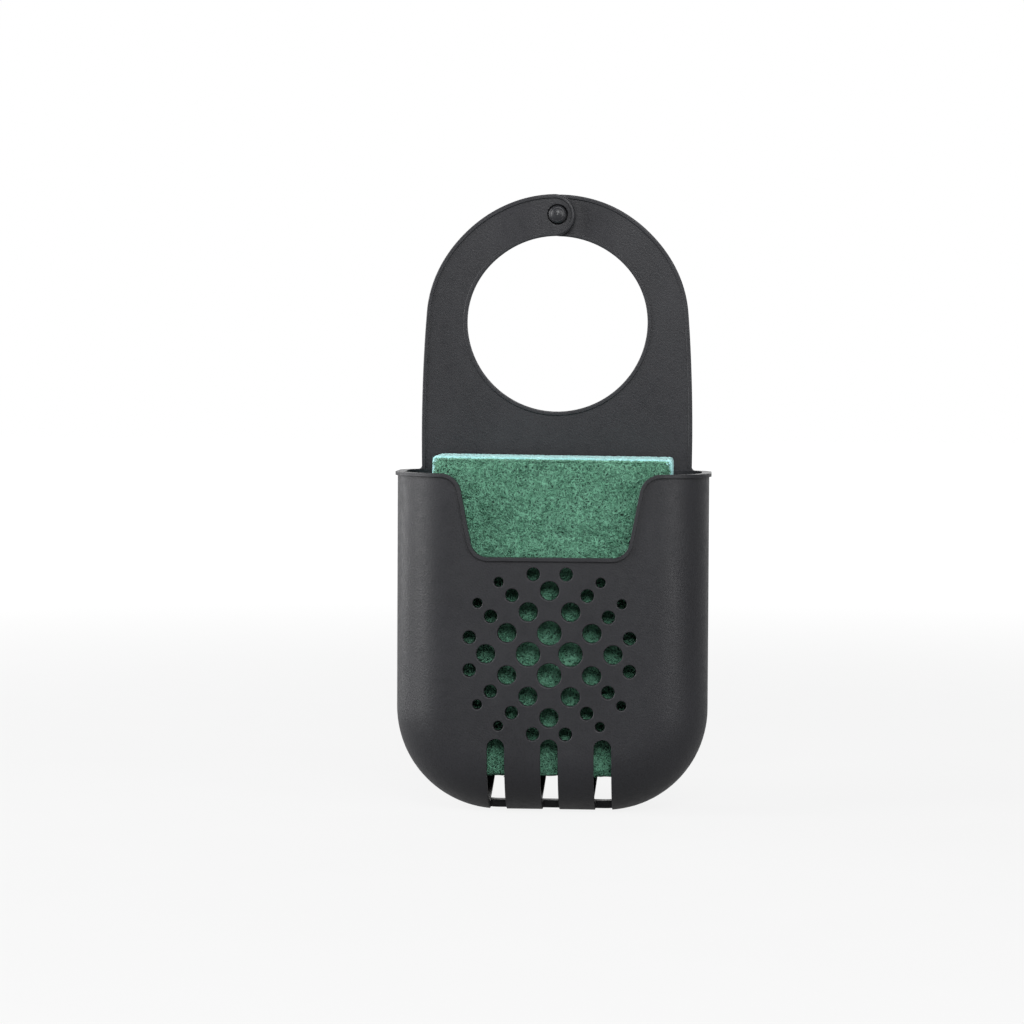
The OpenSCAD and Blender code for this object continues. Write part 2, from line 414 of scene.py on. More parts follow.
def bump(tree, distance, height, **inputs):
    """Turns a height into a normal."""
    inputs = {"Strength": 1.0, "Distance": distance, "Height": height, **inputs}
    return add_node(tree, "Bump", inputs).outputs[0]


def object_place(tree):
    """The point's own place on its piece."""
    return add_node(tree, "TexCoord").outputs["Object"]


def painted(tree, name):
    """A number that the mesh stores at each vertex."""
    return add_node(tree, "Attribute", attribute_name=name).outputs["Fac"]


def scaled(colour, share):
    """A colour times one share, or times a share for each of its parts."""
    return tuple(np.minimum(1.0, np.multiply(colour, share)))


# ---------------------------------------------------------------- node groups


def moulded_grain_group():
    """Spark-eroded mould grain with slow variation over the surface."""
    tree, given = new_group(
        "Moulded grain", {"Place": None, "Grain size": 0.0004, "Patch size": 0.02}
    )
    place = given["Place"]
    grain_scale = calculate(tree, "DIVIDE", 1.0, given["Grain size"])
    patch_scale = calculate(tree, "DIVIDE", 1.0, given["Patch size"])
    mottle_scale, break_up_scale = 420.0, 280.0
    grain = grey_noise(tree, place, grain_scale, 3.0, 0.62)
    cells = cell_distance(tree, place, grain_scale, "SMOOTH_F1")
    height = calculate(
        tree, "ADD", times(tree, grain, 0.7),
        times(tree, cells, 0.45),
    )
    broken = grey_noise(tree, place, break_up_scale, 5.0)
    close_group(tree, {
        "Height": height,
        "Patches": grey_noise(tree, place, patch_scale, 4.0, 0.55),
        "Pits": span(tree, cells, 0.1, 0.45),
        "Mottle": grey_noise(tree, place, mottle_scale, 3.0, 0.6),
        "Break-up": span(tree, broken, 0.42, 0.62),
    })


def soft_edge_group():
    """Softens edges in the shading and finds the edges, which rub and take a painted
    highlight.
    """
    tree, given = new_group("Soft moulded edge", {"Edge radius": 0.0002})
    bevel = add_node(tree, "Bevel", {"Radius": given["Edge radius"]}, samples=6).outputs[0]
    flat = add_node(tree, "NewGeometry").outputs["Normal"]
    facing = add_node(
        tree, "VectorMath", {0: bevel, 1: flat}, operation="DOT_PRODUCT"
    ).outputs["Value"]
    close_group(tree, {"Normal": bevel, "Edge": span(tree, facing, 0.995, 0.86)})


def fibre_web_group():
    """Web of thin wandering fibres with open gaps between them."""
    tree, given = new_group(
        "Fibre web", {"Place": None, "Mesh size": 0.0011, "Wander": 0.0007}
    )
    place = given["Place"]
    wander_scale, mottle_scale, finer = 900.0, 190.0, 1.83
    wander = add_node(
        tree, "TexNoise", {"Vector": place, "Scale": wander_scale}
    ).outputs["Color"]
    centred = move_vector(tree, "SUBTRACT", {0: wander, 1: (0.5, 0.5, 0.5)})
    shift = move_vector(tree, "SCALE", {0: centred, "Scale": given["Wander"]})
    bent = move_vector(tree, "ADD", {0: place, 1: shift})
    scale = calculate(tree, "DIVIDE", 1.0, given["Mesh size"])
    coarse = cell_distance(tree, bent, scale)
    fine = cell_distance(tree, bent, times(tree, scale, finer))
    thick = span(tree, coarse, 0.16, 0.02, smooth=True)
    thin = times(tree, span(tree, fine, 0.2, 0.03, smooth=True), 0.75)
    nearest = calculate(tree, "MINIMUM", coarse, fine)
    close_group(tree, {
        "Strand": calculate(tree, "MAXIMUM", thick, thin),
        "Gap": span(tree, nearest, 0.16, 0.34, smooth=True),
        "Mottle": grey_noise(tree, place, mottle_scale, 3.0),
    })


# ---------------------------------------------------------------- materials


def moulding_material(name, colour, roughness, look, grain_share, edge_r):
    """Matt moulded plastic: grain, slow patches, and edges painted lighter, partly as
    rubbed wear and partly as a painted highlight.

    With an edge radius the edges are softened in the shading; without one the
    mesh has its own round edges and says where they rub and take the painted highlight."""
    material, tree, shader = new_material(name)
    surface = use_group(
        tree, "Moulded grain",
        {"Place": object_place(tree), "Grain size": look.grain * grain_share,
         "Patch size": 0.021},
    )
    if edge_r:
        edge = use_group(tree, "Soft moulded edge", {"Edge radius": edge_r})
        edge_mask, under = edge["Edge"], {"Normal": edge["Normal"]}
    else:
        edge_mask, under = painted(tree, "edge_rub_highlight"), {}
    # The edge mask lightens the colour: partly rubbed wear, partly a painted highlight on
    # the rounded edges
    rub_and_highlight = times(tree, edge_mask, surface["Break-up"])
    patched = blend_colours(
        tree, span(tree, surface["Patches"], 0.3, 0.7),
        scaled(colour, 0.84), scaled(colour, 1.3),
    )
    pitted = blend_colours(
        tree, times(tree, surface["Pits"], 0.5),
        patched, scaled(colour, 1.7),
    )
    rubbed_and_highlit = blend_colours(
        tree, times(tree, rub_and_highlight, 0.5), pitted, scaled(colour, 2.4)
    )
    matt = calculate(
        tree, "ADD",
        span(tree, surface["Patches"], 0.3, 0.7, -0.03, 0.03),
        span(tree, surface["Mottle"], 0.3, 0.7, roughness - 0.06, roughness + 0.06),
    )
    polished = times(tree, rub_and_highlight, 0.1)
    feed(tree, shader, {
        "Base Color": rubbed_and_highlit,
        "Roughness": calculate(tree, "SUBTRACT", matt, polished),
        "Normal": bump(tree, look.grain_height * grain_share, surface["Height"], **under),
        "Specular IOR Level": 0.32,
    })
    return material


def web_tones(look):
    """Colours of the scouring pad: the fibres' own colour on top, and copies darkened as
    painted shade half way down and deep in the web.
    """
    light, deep_shade = tuple(look.light), tuple(look.deep_shade)
    half_shade = tuple(0.3 * a + 0.7 * b for a, b in zip(light, deep_shade))
    return light, half_shade, deep_shade


def scourer_web_material(look):
    """Bonded web under the loose fibres of the scouring pad, with painted shade between its
    strands.
    """
    material, tree, shader = new_material("scouring_web")
    web = use_group(
        tree, "Fibre web",
        {"Place": object_place(tree), "Mesh size": 0.00115, "Wander": 0.0011},
    )
    light, half_shade, deep_shade = web_tones(look)
    # Painted shade: the ground between the strands takes the half-shaded colour, and the
    # gaps take the deep shade
    ground = blend_colours(
        tree, span(tree, web["Mottle"], 0.35, 0.68), half_shade, scaled(light, 0.66)
    )
    strands = blend_colours(tree, web["Strand"], ground, light)
    gap_shade = times(tree, web["Gap"], 0.95)
    relief = calculate(tree, "SUBTRACT", web["Strand"], web["Gap"])
    feed(tree, shader, {
        "Base Color": blend_colours(tree, gap_shade, strands, deep_shade),
        "Roughness": span(tree, web["Strand"], 0.0, 1.0, 0.92, 0.7),
        "Normal": bump(tree, 0.0003, relief),
        "Specular IOR Level": 0.3,
    })
    return material


def scourer_fibre_material(look):
    """Single fibres, each with a tone of its own."""
    material, tree, shader = new_material("scouring_fibre")
    tone = painted(tree, "fibre_tone")
    speck = grey_noise(tree, object_place(tree), 1500.0)
    light, half_shade, _ = web_tones(look)
    # Each fibre's random tone runs from the half-shaded colour up to a lighter one
    base = blend_colours(tree, tone, half_shade, scaled(light, 1.4))
    specks = span(tree, speck, 0.4, 0.75, 0.0, 0.25)
    feed(tree, shader, {
        "Base Color": blend_colours(tree, specks, base, light),
        "Roughness": span(tree, speck, 0.3, 0.7, 0.45, 0.65),
        "Specular IOR Level": 0.4,
    })
    return material


def foam_material(look):
    """Open-cell foam: fine pores inside the large ones of the mesh, both darkened as
    painted shade.
    """
    material, tree, shader = new_material("sponge_foam")
    place = object_place(tree)
    pore_scale, patch_scale = 1500.0, 120.0
    pores = span(tree, cell_distance(tree, place, pore_scale), 0.06, 0.3, smooth=True)
    patches = grey_noise(tree, place, patch_scale, 4.0)
    depth = painted(tree, "pore_depth")
    colour = tuple(look.colour)
    pore_shade, pale = scaled(colour, (0.5, 0.68, 0.68)), scaled(colour, (1.3, 1.1, 1.1))
    base = blend_colours(tree, span(tree, patches, 0.3, 0.7), colour, pale)
    # Painted shade in the fine pores and, from the stored pore depth, in the sunk large
    # pores
    fine = blend_colours(tree, times(tree, pores, 0.18), base, pore_shade)
    walls = calculate(tree, "SUBTRACT", 1.0, pores)
    sunk = times(tree, depth, 0.35)
    feed(tree, shader, {
        "Base Color": blend_colours(tree, sunk, fine, pore_shade),
        "Roughness": span(tree, patches, 0.3, 0.7, 0.85, 0.95),
        "Normal": bump(tree, 0.00022, walls),
        "Specular IOR Level": 0.2,
        "Sheen Weight": 0.25,
        "Sheen Roughness": 0.6,
    })
    return material


# ---------------------------------------------------------------- mesh helpers


def new_piece(name, vertices, faces, material):
    """Makes an object from vertices in millimetres, smooth but for its sharp edges."""
    mesh = bpy.data.meshes.new(name)
    mesh.from_pydata([tuple(v) for v in np.asarray(vertices) * MM], [], faces)
    mesh.validate()
    work = bmesh.new()
    work.from_mesh(mesh)
    bmesh.ops.remove_doubles(work, verts=work.verts, dist=1e-6)
    bmesh.ops.recalc_face_normals(work, faces=work.faces)
    work.to_mesh(mesh)
    work.free()
    return finish_piece(name, mesh, material, SHARP_ANGLE)


def give_material(mesh, material):
    """Makes one material the only one of a mesh."""
    mesh.materials.clear()
    mesh.materials.append(material)


def finish_piece(name, mesh, material, sharp_angle):
    """Links a mesh as an object with its material and smooth shading."""
    give_material(mesh, material)
    mesh.shade_smooth()
    mesh.set_sharp_from_angle(angle=math.radians(sharp_angle))
    piece = bpy.data.objects.new(name, mesh)
    bpy.context.scene.collection.objects.link(piece)
    return piece


def apply_modifiers(piece):
    """Replaces a piece's mesh by what its modifiers make of it."""
    depsgraph = bpy.context.evaluated_depsgraph_get()
    mesh = bpy.data.meshes.new_from_object(piece.evaluated_get(depsgraph))
    old = piece.data
    piece.modifiers.clear()
    piece.data = mesh
    bpy.data.meshes.remove(old)


def read_vectors(mesh, kind):
    """Vertex positions ("co") or normals ("normal") as an array."""
    data = np.empty(len(mesh.vertices) * 3)
    mesh.vertices.foreach_get(kind, data)
    return data.reshape(-1, 3)


def write_points(mesh, co):
    """Moves a mesh's vertices."""
    mesh.vertices.foreach_set("co", co.ravel())
    mesh.update()


def write_tone(mesh, name, values):
    """Stores one number per vertex for a material to read."""
    attribute = mesh.attributes.new(name, "FLOAT", "POINT")
    attribute.data.foreach_set("value", np.asarray(values, np.float32))


def mark_rub_and_highlight(mesh, seam_z):
    """Marks the outward corners of a skin for rubbed wear and a painted highlight, but not
    the cut at its seam.
    """
    full_rub_and_highlight, clear_of_seam = 0.06, 0.6 * MM
    co, normal = read_vectors(mesh, "co"), read_vectors(mesh, "normal")
    ends = np.empty(len(mesh.edges) * 2, np.int32)
    mesh.edges.foreach_get("vertices", ends)
    ends = ends.reshape(-1, 2)
    total, count = np.zeros(len(co)), np.zeros(len(co))
    for here, there in (ends.T, ends.T[::-1]):
        run = co[there] - co[here]
        run /= np.linalg.norm(run, axis=1, keepdims=True) + 1e-12
        np.add.at(total, here, -(run * normal[here]).sum(1))
        np.add.at(count, here, 1)
    rub_and_highlight = np.clip(total / np.maximum(count, 1) / full_rub_and_highlight, 0, 1)
    rub_and_highlight[np.abs(co[:, 2] - seam_z * MM) < clear_of_seam] = 0
    write_tone(mesh, "edge_rub_highlight", rub_and_highlight)


# ---------------------------------------------------------------- plate and straps


def turned(angle, radius=1.0):
    """Point on a circle, at an angle from its first axis."""
    return radius * math.cos(angle), radius * math.sin(angle)


def arc_points(centre, radius, start, end, steps):
    """Points (u, y) of an arc between two angles in degrees."""
    arc = (turned(a, radius) for a in np.radians(np.linspace(start, end, steps + 1)))
    return [(centre[0] + u, centre[1] + y) for u, y in arc]


def edge_columns(edge_h, corner):
    """Section at one edge, from the sunken field in front round to the back.

    Each entry is (share of the edge's width, distance from the edge, y): a point
    lies at share * width + distance from the boundary. The foot and the top of
    the step have their own small radii, and hold is the width of the faces that
    keep the round parts apart from the flat ones."""
    top, foot, hold = 0.12, 0.18, 0.05
    step_arc, corner_arc = 3, 5
    front, back, field = -HALF_T, HALF_T, -HALF_T + edge_h

    def bend(share, centre, radius, start, end, steps):
        return [(share, *p) for p in arc_points(centre, radius, start, end, steps)]

    return [
        (1, foot + hold, field),
        *bend(1, (foot, field - foot), foot, 90, 180, step_arc),
        *bend(1, (-top, front + top), top, 0, -90, step_arc),
        (1, -top - hold, front),
        (0, corner + hold, front),
        *bend(0, (corner, front + corner), corner, -90, -180, corner_arc),
        (0, 0, front + corner + hold),
        (0, 0, back - corner - hold),
        *bend(0, (corner, back - corner), corner, 180, 90, corner_arc),
        (0, corner + hold, back),
        (1, foot + hold, back),
    ]


class Outline:
    """Front view of plate and ring on the right: side arc, ring and rim."""

    def __init__(self, band):
        half = band.plate_half
        self.edge_w = band.edge_w
        self.side_r = (half**2 + RIM_Z**2 - RING_OUT**2) / (2 * (half - RING_OUT))
        self.side_x = half - self.side_r
        self.tangent_z = -RIM_Z * RING_OUT / (self.side_r - RING_OUT)

    def side(self, z):
        """Boundary point, inward direction and edge width on the plate's side."""
        dz = z - RIM_Z
        x = self.side_x + math.sqrt(self.side_r**2 - dz**2)
        inward = -np.array([x - self.side_x, dz]) / self.side_r
        flare = 0.0
        if dz < ROOT_R:
            flare = ROOT_R - math.sqrt(ROOT_R**2 - (ROOT_R - dz) ** 2)
        return np.array([x + flare, z]), inward, self.edge_w + flare

    def ring(self, angle):
        """The same on the outside of the ring, at an angle above +X."""
        out = np.array(turned(angle))
        return out * RING_OUT, -out, self.edge_w

    def opening(self, angle):
        """The same on the ring's opening."""
        out = np.array(turned(angle))
        return out * RING_R, out, self.edge_w


def edge_point(edge, column):
    """Point (x, z, y) of one column of the section at an edge."""
    share, distance, y = column
    spot = edge[0] + edge[1] * (share * edge[2] + distance)
    return (spot[0], spot[1], y)


def between(a, b):
    """Points across the field from one edge to the other."""
    shares = [i / (FIELD_STEPS + 1) for i in range(1, FIELD_STEPS + 1)]
    return [tuple(np.array(a) * (1 - s) + np.array(b) * s) for s in shares]


def section_ring(outer, inner, columns):
    """Closed section between two edges, as (x, z, y) points."""
    outer_part = [edge_point(outer, c) for c in columns]
    inner_part = [edge_point(inner, c) for c in reversed(columns)]
    back = between(outer_part[-1], inner_part[0])
    front = between(inner_part[-1], outer_part[0])
    return outer_part + back + inner_part + front


def section_caps(n):
    """Closes the first section with three flat faces: both edges and the field."""
    far, size = n + FIELD_STEPS, 2 * (n + FIELD_STEPS)
    half_shade = (*range(n - 1, far + 1), *range(far + n - 1, size), 0)
    return [tuple(range(n)), tuple(range(far, far + n)), half_shade]


def band_skin(stations, columns):
    """Skin along a row of stations, closed where it starts, and a section's size."""
    rings = [section_ring(outer, inner, columns) for outer, inner in stations]
    size, faces = len(rings[0]), []
    for a in range(0, (len(rings) - 1) * size, size):
        for j in range(size):
            k = (j + 1) % size
            faces.append((a + j, a + k, a + size + k, a + size + j))
    faces += section_caps(len(columns))
    return [point for ring in rings for point in ring], faces, size


def neck_stations(outline, seam_z):
    """Pairs of edges from the seam up to where the side runs into the ring."""
    tangent = math.asin(outline.tangent_z / RING_OUT)
    made = []
    for z in np.linspace(seam_z, outline.tangent_z, NECK_STEPS + 1)[:-1]:
        share = (outline.tangent_z - z) / (outline.tangent_z - seam_z)
        angle = tangent * (1 - share) + math.asin(z / RING_R) * share
        made.append((outline.side(z), outline.opening(angle)))
    return made


def smooth_share(value, low, high):
    """Smooth step from 0 to 1 between two values."""
    share = min(1.0, max(0.0, (value - low) / (high - low)))
    return share * share * (3 - 2 * share)


def settled(band, x, z):
    """Where a point of plate and ring lies once the ring is snapped shut.

    The closed ring is a little wider and lower than a true circle."""
    level = min(1.0, max(0.0, z / RIM_Z))
    wide = x * (1 + band.spread / RING_OUT * (1 - level**1.5))
    pulled = band.sag * smooth_share(z, 0, RING_R)
    eased = SAG_EASED * band.sag * smooth_share(z, RING_R, RING_OUT)
    return wide, z - pulled + eased


def place_points(band, points, shift=0.0):
    """Settles (x, z, y) points, steps them at the overlap and returns (x, y, z)."""
    placed = []
    for x, z, y in points:
        wide, low = settled(band, x, z)
        step = shift * (1 - smooth_share(x, LAP_FLAT, LAP_FLAT + LAP_RAMP))
        placed.append((wide, y + step, low))
    return placed


def strap_mesh(band, shift):
    """Right-hand strap from the seam over the ring to its round end."""
    outline = Outline(band)
    columns = edge_columns(band.edge_h, band.corner)
    end_angle = math.pi / 2 - math.asin(TIP_X / ((RING_R + RING_OUT) / 2))
    tangent = math.asin(outline.tangent_z / RING_OUT)
    stations = neck_stations(outline, band.seam_z)
    for angle in np.linspace(tangent, end_angle, RING_STEPS):
        stations.append((outline.ring(angle), outline.opening(angle)))
    points, faces, size = band_skin(stations, columns)

    # The round end turns the outer half of the last section about its middle
    last, half_field = len(points) - size, FIELD_STEPS // 2
    back_pole = last + len(columns) + half_field
    front_pole = back_pole + len(columns) + FIELD_STEPS
    outer_half = [*range(front_pole + 1, last + size), *range(last, back_pole)]
    inner_half = [*range(front_pole - 1, back_pole, -1)]
    half_shade = np.array(points[front_pole][:2])
    tip = section_ring(*stations[-1], edge_columns(band.edge_h, band.tip_corner))
    previous = outer_half
    for k in range(1, TIP_STEPS + 1):
        current = inner_half
        if k < TIP_STEPS:
            turn = math.pi * k / TIP_STEPS
            c, s = math.cos(turn), math.sin(turn)
            current = []
            for j in outer_half:
                x, z, y = np.array(points[j]) * (1 - s) + np.array(tip[j - last]) * s
                dx, dz = x - half_shade[0], z - half_shade[1]
                current.append(len(points))
                points.append(
                    (half_shade[0] + dx * c - dz * s, half_shade[1] + dx * s + dz * c, y)
                )
        for j in range(len(outer_half) - 1):
            faces.append((previous[j], previous[j + 1], current[j + 1], current[j]))
        faces.append((previous[0], current[0], front_pole))
        faces.append((previous[-1], back_pole, current[-1]))
        previous = current
    return place_points(band, points, shift), faces


def plate_mesh(band):
    """Back plate below the seams, with the lower half of the ring."""
    outline = Outline(band)
    columns = edge_columns(band.edge_h, band.corner)
    seam_angle = math.asin(band.seam_z / RING_R)
    root_heights = (1.2, 1.0, 0.8, 0.6, 0.4, 0.25, 0.12, 0.04, 0.0)
    heights = [*np.linspace(band.seam_z, RIM_Z + 1.6, SIDE_STEPS)]
    heights += [RIM_Z + h for h in root_heights]
    stations = []
    for z in heights:
        share = (z - band.seam_z) / (RIM_Z - band.seam_z)
        angle = seam_angle + (FOOT_ANGLE - seam_angle) * share
        stations.append((outline.side(z), outline.opening(angle)))
    points, faces, size = band_skin(stations, columns)
    last, n = len(points) - size, len(columns)
    faces.append(tuple(range(last, last + n)))

    # Below the ring the field runs down to the rim without a raised edge
    front_end, back_end = np.array(points[last]), np.array(points[last + n - 1])
    previous = [*range(last + n - 1, last + size), last]
    for k in range(1, FOOT_STEPS + 1):
        share = k / FOOT_STEPS
        inner = outline.opening(FOOT_ANGLE + (-math.pi / 2 - FOOT_ANGLE) * share)
        inner_part = [edge_point(inner, c) for c in reversed(columns)]
        back = (back_end[0] * (1 - share), RIM_Z, HALF_T)
        front = (front_end[0] * (1 - share), RIM_Z, front_end[2])
        row = [back, *between(back, inner_part[0]), *inner_part]
        row += [*between(inner_part[-1], front), front]
        current = [*range(len(points), len(points) + len(row))]
        points += row
        for j in range(len(row)):
            i = (j + 1) % len(row)
            faces.append((previous[j], previous[i], current[i], current[j]))
        previous = current
    right = place_points(band, points)
    left = [(-x, y, z) for x, y, z in right]
    faces += [tuple(len(right) + i for i in reversed(f)) for f in faces]
    return right + left, faces


def lathe_mesh(profile, steps):
    """Closed surface of revolution about Z from (radius, height) pairs."""
    points, faces, rows = [], [], []
    for radius, height in profile:
        if not radius:
            rows.append([len(points)])
            points.append((0.0, 0.0, height))
            continue
        rows.append([*range(len(points), len(points) + steps)])
        for k in range(steps):
            points.append((*turned(2 * math.pi * k / steps, radius), height))
    for a, b in zip(rows, rows[1:]):
        for k in range(steps):
            m = (k + 1) % steps
            if len(a) == 1:
                faces.append((a[0], b[k], b[m]))
            elif len(b) == 1:
                faces.append((a[k], b[0], a[m]))
            else:
                faces.append((a[k], b[k], b[m], a[m]))
    return points, faces


def cut_snap_hole(strap, band):
    """Cuts the stud's hole through the front strap, with a rounded mouth."""
    mouth_r, mouth_arc, hole_steps = 0.18, 6, 72
    behind, before = -3.0, 6.0
    low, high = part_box("press_stud")
    hole_r = (high.x - low.x) / 2 / MM + band.snap_gap
    hole_z = (high.z + low.z) / 2 / MM
    field = LAP_SHIFT + HALF_T - band.edge_h
    profile = [(0, behind), (hole_r, behind)]
    for t in np.linspace(0, math.pi / 2, mouth_arc):
        wide, tall = mouth_r - mouth_r * math.cos(t), mouth_r * math.sin(t)
        profile.append((hole_r + wide, field - mouth_r + tall))
    profile += [(hole_r + mouth_r, before), (0, before)]
    points, faces = lathe_mesh(profile, hole_steps)
    # The lathe's axis turns from Z to -Y
    placed = [(x, -h, hole_z + y) for x, y, h in points]
    cutter = new_piece("snap_hole_cut", placed, faces, strap.data.materials[0])
    cut = strap.modifiers.new("snap hole", "BOOLEAN")
    cut.operation, cut.solver, cut.object = "DIFFERENCE", "EXACT", cutter
    apply_modifiers(strap)
    bpy.data.objects.remove(cutter)
    strap.data.shade_smooth()
    strap.data.set_sharp_from_angle(angle=math.radians(SHARP_ANGLE))


# ---------------------------------------------------------------- sponge


def even_copy(name, node, voxel, material):
    """Copy of a CAD solid with small even faces, ready for sculpting."""
    piece = finish_piece(name, frame["nodes"][node].data.copy(), material, 80)
    remesh = piece.modifiers.new("even faces", "REMESH")
    remesh.mode, remesh.voxel_size, remesh.use_smooth_shade = "VOXEL", voxel, True
    apply_modifiers(piece)
    give_material(piece.data, material)
    return piece


def round_edges(mesh, low, high, reach, share):
    """Pulls in the edges of a soft block, most at its corners."""
    co = read_vectors(mesh, "co")
    low, high = np.array(low), np.array(high)
    near = np.maximum(0, 1 - np.minimum(co - low, high - co) / reach)
    pull = np.sort(near, axis=1)[:, 1]
    inward = -np.sign(co - (low + high) / 2) * near
    write_points(mesh, co + inward * (pull**2)[:, None] * reach * share)


def square_corners(mesh, low, high, corner_r, powers):
    """Fills out the round upper corners towards square ones, right and then left."""
    for side, power in zip((1, -1), powers):
        co = read_vectors(mesh, "co")
        centre_x = high[0] - corner_r if side > 0 else low[0] + corner_r
        centre_z = high[2] - corner_r
        dx, dz = (co[:, 0] - centre_x) * side, co[:, 2] - centre_z
        inside = (dx > 0) & (dz > 0)
        far = np.hypot(dx, dz) + 1e-12
        grown = (np.abs(dx / far) ** power + np.abs(dz / far) ** power) ** (-1 / power)
        reach = np.minimum(far / corner_r, 1)
        scale = np.where(inside, 1 + (grown - 1) * reach**3, 1)
        co[:, 0] = np.where(inside, centre_x + dx * scale * side, co[:, 0])
        co[:, 2] = np.where(inside, centre_z + dz * scale, co[:, 2])
        write_points(mesh, co)


def lean(mesh, low, high, slope):
    """Tilts a soft block's top, as the sponge sits slightly askew in the pocket."""
    co = read_vectors(mesh, "co")
    co[:, 2] += slope * co[:, 0] * (co[:, 2] - low[2]) / (high[2] - low[2])
    write_points(mesh, co)


def sculpt_foam(mesh, pore, depth):
    """Sinks the pores of the foam into its mesh, a close set and a sparse one.

    The top stays at its mean height, so that the block keeps its size."""
    wall_width, sparse_width, wave_size = 0.42, 0.42, 0.009
    sparse_pore, offset = pore * 2.6, Vector((31.7, 4.1, 9.2))
    skipped, mean_sunk, deepest = 0.35, 0.45, 1.5
    co, normal = read_vectors(mesh, "co"), read_vectors(mesh, "normal")
    sunk = np.zeros(len(co))
    for i, point in enumerate(co):
        spot = Vector(point)
        near = noise.voronoi(spot / pore)[0]
        wall = min(1.0, (near[1] - near[0]) / wall_width)
        sparse, where = noise.voronoi(spot / sparse_pore + offset)
        chosen = noise.cell(where[0] * 7.3)
        big = max(0.0, 1 - sparse[0] / sparse_width) if chosen > skipped else 0.0
        wave = noise.noise(spot / wave_size)
        sunk[i] = 0.5 * wall * wall * (3 - 2 * wall) + 0.8 * big**0.6 + 0.1 * wave
    kept_top = np.where(normal[:, 2] > 0.5, sunk - mean_sunk, sunk)
    write_points(mesh, co - normal * (kept_top * depth)[:, None])
    # The depth is stored for the foam's painted shade in the pores
    write_tone(mesh, "pore_depth", np.clip(sunk / deepest, 0, 1))


def sculpt_web(mesh, height):
    """Uneven surface of the bonded fibre web."""
    slow_size, quick_size, hole_size = 0.006, 0.0016, 0.0028
    co, normal = read_vectors(mesh, "co"), read_vectors(mesh, "normal")
    lift = np.zeros(len(co))
    for i, point in enumerate(co):
        spot = Vector(point)
        slow = noise.noise(spot / slow_size)
        quick = noise.noise(spot / quick_size + Vector((5, 1, 7)))
        near = noise.voronoi(spot / hole_size)[0]
        hole = max(0.0, 1 - near[0] / 0.3)
        lift[i] = 0.35 * slow + 0.6 * quick - 0.9 * hole
    write_points(mesh, co + normal * (lift * height)[:, None])


def unit(vectors):
    """Vectors along the last axis brought to length 1."""
    return vectors / (np.linalg.norm(vectors, axis=2, keepdims=True) + 1e-12)


def fibre_lines(starts, frames, rng):
    """Middle lines of curled fibres that lie on a surface and arch over it."""
    count, steps, most_bend = len(starts), 7, 4.6
    length = rng.uniform(1.5, 4.4, count) * MM
    bend = rng.choice([-1, 1], count) * length / (
        rng.lognormal(math.log(1.15), 0.45, count) * MM
    )
    bend = np.clip(bend, -most_bend, most_bend)
    heading = rng.uniform(0, 2 * math.pi, count)
    wobble = rng.normal(0, 0.28, (count, steps))
    turn = heading[:, None] + bend[:, None] * (np.arange(steps) / steps) + wobble
    step = (length / steps)[:, None]

    def walked(direction):
        way = np.cumsum(direction * step, 1)
        way = np.concatenate([np.zeros((count, 1)), way], 1)
        return (way - way.mean(1, keepdims=True))[:, :, None]

    share = np.linspace(0, 1, steps + 1)[None, :]
    crest = rng.gamma(2.2, 0.14, count)[:, None] * MM
    height = np.sin(math.pi * share) * crest + rng.uniform(-0.25, 0.05, (count, 1)) * MM
    height += rng.normal(0, 0.03, (count, steps + 1)) * MM
    right, up, out = (frames[:, None, i, :] for i in range(3))
    across, along = walked(np.cos(turn)), walked(np.sin(turn))
    return starts[:, None, :] + across * right + along * up + height[:, :, None] * out


def curled_fibres(name, starts, frames, limits, radius, rng, material):
    """Curled fibres within two limits, as thin closed three-sided tubes."""
    sides, end_share = 3, 0.55
    line = np.clip(fibre_lines(starts, frames, rng), *limits)
    count, rows = line.shape[:2]
    out, tangent = frames[:, None, 2, :], unit(np.gradient(line, axis=1))
    first = unit(out - tangent * (tangent * out).sum(2, keepdims=True))
    second = np.cross(tangent, first)
    thick = radius * rng.uniform(0.7, 1.3, (count, 1)) * np.ones((1, rows))
    thick[:, [0, -1]] *= end_share
    rings = []
    for k in range(sides):
        a = 2 * math.pi * k / sides
        around = first * math.cos(a) + second * math.sin(a)
        rings.append(line + around * thick[:, :, None])
    points = np.stack(rings, 2).reshape(-1, 3)
    per = rows * sides
    pattern = [
        (a + k, a + (k + 1) % sides, a + sides + (k + 1) % sides, a + sides + k)
        for a in range(0, per - sides, sides) for k in range(sides)
    ]
    faces = []
    for kind in (pattern, [(2, 1, 0), (per - 3, per - 2, per - 1)]):
        placed = np.array(kind)[None] + (np.arange(count) * per)[:, None, None]
        faces += [tuple(f) for f in placed.reshape(-1, len(kind[0])).tolist()]
    mesh = bpy.data.meshes.new(name)
    mesh.from_pydata(points.tolist(), [], faces)
    piece = finish_piece(name, mesh, material, 85)
    write_tone(mesh, "fibre_tone", np.repeat(rng.beta(1.6, 2.4, count), per))
    return piece


def same_frames(count, right, up, out):
    """The same three directions for each of a number of fibres."""
    return np.tile(np.array([right, up, out], float), (count, 1, 1))


# ---------------------------------------------------------------- stage helpers


def background_ray(tree):
    """1 for rays that see the background itself, straight or through something."""
    ray = add_node(tree, "LightPath").outputs
    return calculate(
        tree, "MAXIMUM", ray["Is Camera Ray"], ray["Is Transmission Ray"]
    )


